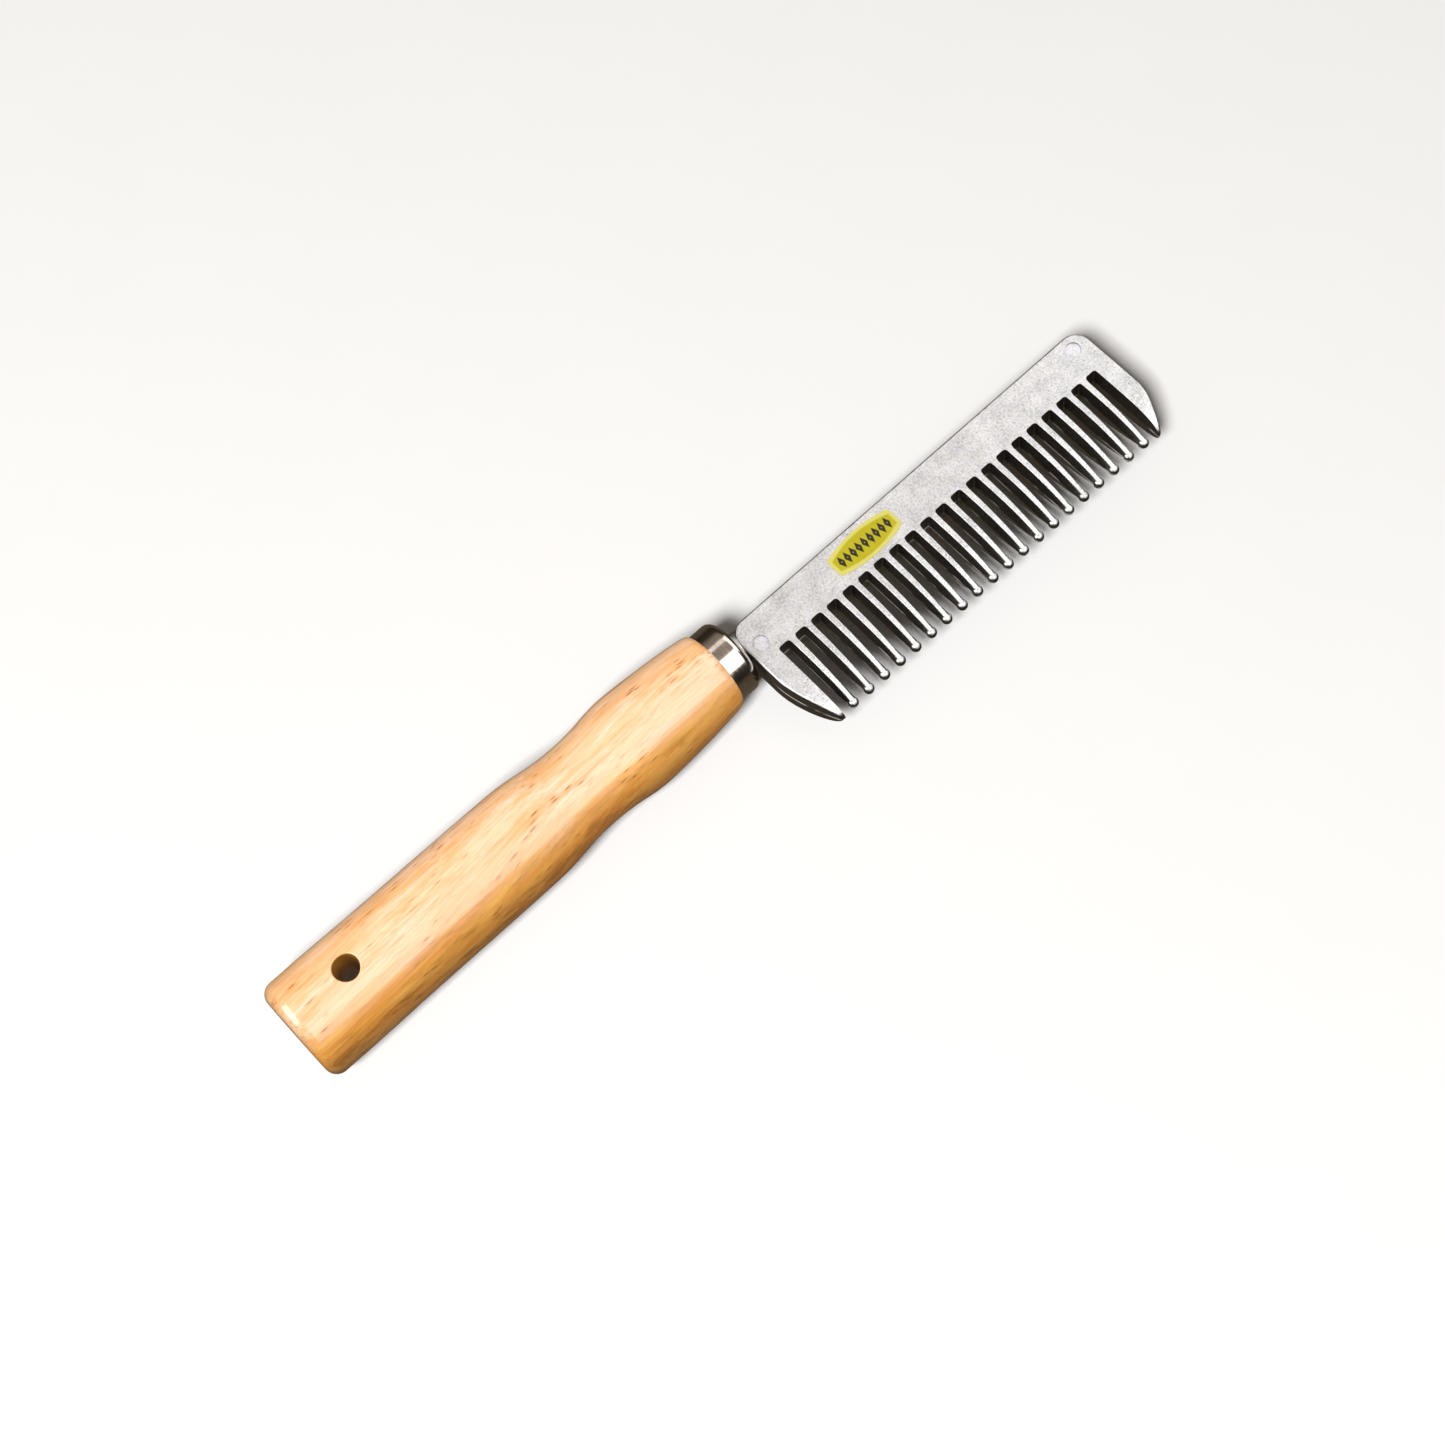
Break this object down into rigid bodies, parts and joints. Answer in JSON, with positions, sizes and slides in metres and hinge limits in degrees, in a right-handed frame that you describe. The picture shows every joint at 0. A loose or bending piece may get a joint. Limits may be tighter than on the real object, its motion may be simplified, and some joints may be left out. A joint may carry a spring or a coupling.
{
  "type": "mane comb",
  "caption": "Horse mane comb: turned wooden handle with a hang hole, plated ferrule and a thick cast aluminium comb whose tapered teeth end in round tips.",
  "frame": {"origin": "under the middle of the whole comb, on the surface that the handle lies on", "axes": "+X from the handle's butt to the comb's far end, teeth along -Y, +Z out of the comb's labelled face"},
  "size_m": [0.2204, 0.038, 0.023],
  "materials": {
    "cast_aluminium": "satin, finely speckled as die-cast and tumbled",
    "tang_steel": "plain mild steel",
    "lacquered_wood": "pale hardwood under clear gloss lacquer",
    "ferrule_plating": "bright nickel plating",
    "resin_glue": "hardened resin",
    "sticker": "glossy printed sticker"
  },
  "bodies": {
    "root": {"comb_head": "cast_aluminium", "tang": "tang_steel", "handle": "lacquered_wood", "ferrule": "ferrule_plating", "tang_glue": "resin_glue", "label": "sticker"}
  },
  "joints": []
}
